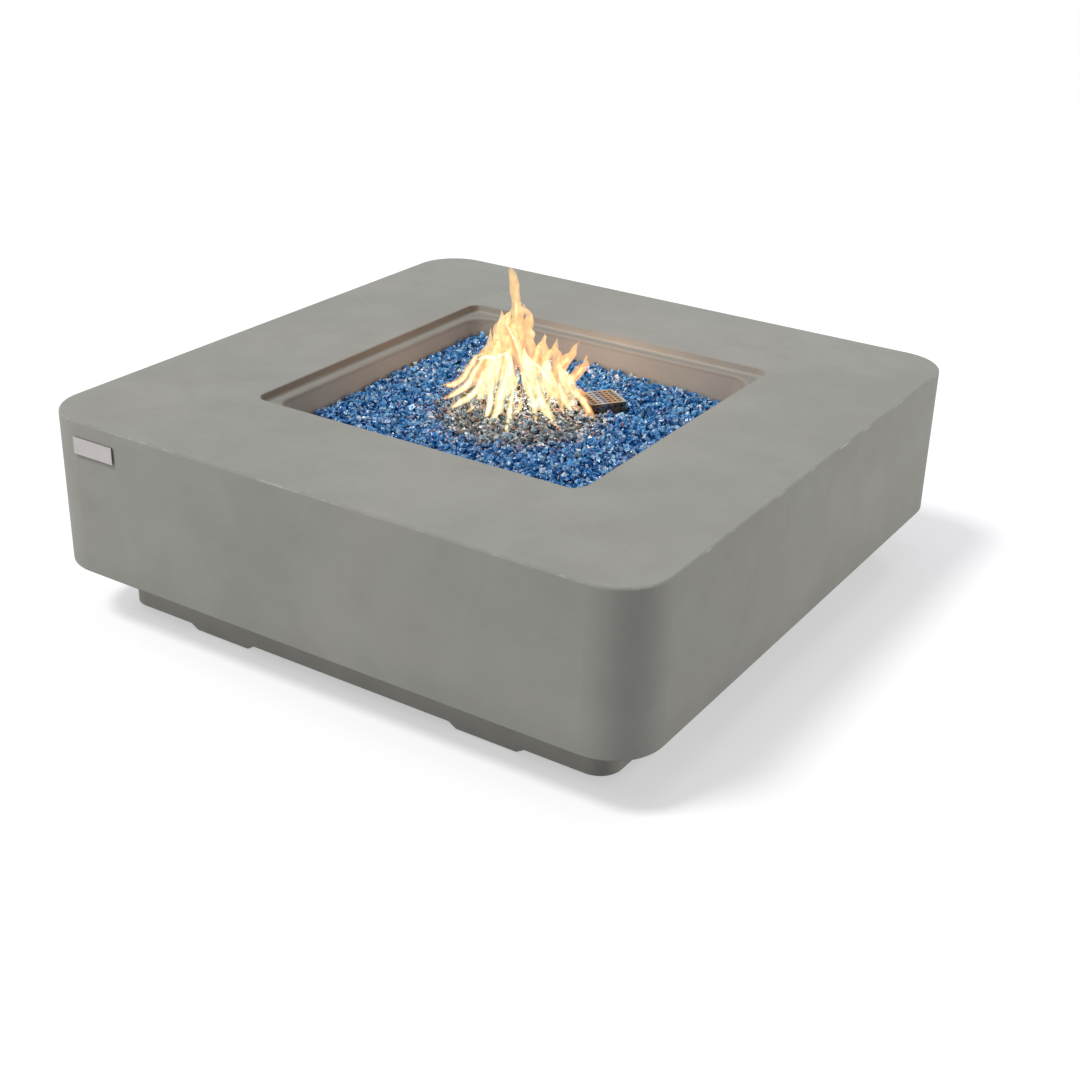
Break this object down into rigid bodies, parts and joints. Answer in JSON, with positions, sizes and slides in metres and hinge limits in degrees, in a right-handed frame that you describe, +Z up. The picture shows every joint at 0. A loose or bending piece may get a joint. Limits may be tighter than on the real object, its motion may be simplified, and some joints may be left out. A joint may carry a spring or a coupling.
{
  "type": "fire pit table",
  "caption": "Low square cast concrete fire pit table on a recessed plinth, with a gas burner under blue fire glass and a recessed control panel in the back.",
  "frame": {"origin": "on the floor under the middle of the table", "axes": "+Z up, -Y out of the side with the name plate, +Y out of the side with the controls, +X to the right seen from the name plate's side"},
  "size_m": [1.07, 1.0774, 0.35],
  "materials": {
    "concrete": "matte",
    "base_concrete": "matte",
    "pad_rubber": "matte",
    "brass": "satin",
    "zinc_steel": "satin",
    "screw_steel": "satin",
    "plate_foam": "matte",
    "plate_steel": "satin",
    "stainless": "satin",
    "burner_steel": "satin",
    "pipe_aluminium": "satin",
    "white_ceramic": "gloss",
    "wire_steel": "polished",
    "couple_alloy": "satin",
    "guard_steel": "satin",
    "blue_glass": "gloss",
    "bezel_black": "matte",
    "knob_plastic": "matte",
    "battery_case": "gloss",
    "cap_chrome": "polished",
    "button_red": "gloss",
    "lead_silicone": "satin",
    "capillary_copper": "satin"
  },
  "bodies": {
    "table": {"concrete_body": "concrete", "base_casting": "base_concrete", "foot_pads": "pad_rubber", "body_inserts": "brass", "base_washers": "zinc_steel", "base_bolts": "zinc_steel", "name_plate_pad": "plate_foam", "name_plate": "plate_steel", "pan_inserts": "brass", "burner_pan": "stainless", "pan_screws": "screw_steel", "burner_ring": "burner_steel", "burner_saddles": "burner_steel", "hub_locknut": "zinc_steel", "air_mixer": "brass", "gas_jet": "brass", "jet_elbow": "brass", "burner_pipe": "pipe_aluminium", "sensor_bracket": "stainless", "spark_insulator": "white_ceramic", "spark_electrode": "wire_steel", "thermocouple": "couple_alloy", "igniter_guard": "guard_steel", "guard_screws": "screw_steel", "fire_glass": "blue_glass", "box_inserts": "brass", "control_box": "stainless", "box_screws": "screw_steel", "knob_bezel": "bezel_black", "valve_screws": "screw_steel", "valve_bonnet": "brass", "valve_body": "brass", "igniter_barrel": "knob_plastic", "igniter_nut": "knob_plastic", "igniter_battery": "battery_case", "igniter_lead": "lead_silicone", "thermocouple_lead": "capillary_copper", "inlet_pipe": "pipe_aluminium", "inlet_bracket": "stainless", "inlet_fitting": "brass", "inlet_locknut": "brass", "inlet_screws": "screw_steel"},
    "plug": {"valve_plug": "brass", "stem_spring": "wire_steel"},
    "knob": {"valve_stem": "zinc_steel", "control_knob": "knob_plastic"},
    "carrier": {"battery_spring": "wire_steel"},
    "cap": {"igniter_cap": "cap_chrome", "button_spring": "wire_steel"},
    "button": {"igniter_button": "button_red"}
  },
  "joints": [
    {"name": "knob_turn", "type": "hinge", "parent": "table", "child": "plug", "pos_m": [-0.038, 0.497, 0.183], "axis": [0, 1, 0], "range_deg": [0, 180]},
    {"name": "knob_push", "type": "slide", "parent": "plug", "child": "knob", "axis": [0, -1, 0], "range_m": [0, 0.003], "stiffness_N_per_m": 600, "springref_m": -0.004, "deforming": ["stem_spring"]},
    {"name": "cap_travel", "type": "slide", "parent": "table", "child": "carrier", "axis": [0, 1, 0], "range_m": [0, 0.006]},
    {"name": "cap_turn", "type": "hinge", "parent": "carrier", "child": "cap", "pos_m": [0.038, 0.497, 0.183], "axis": [0, 1, 0], "range_deg": [0, 1440]},
    {"name": "button_push", "type": "slide", "parent": "cap", "child": "button", "axis": [0, -1, 0], "range_m": [0, 0.004], "stiffness_N_per_m": 400, "springref_m": -0.003, "deforming": ["button_spring"]}
  ],
  "couplings": [
    {"joint": "cap_travel", "follows": "cap_turn", "m_per_rad": 0.00023873}
  ]
}
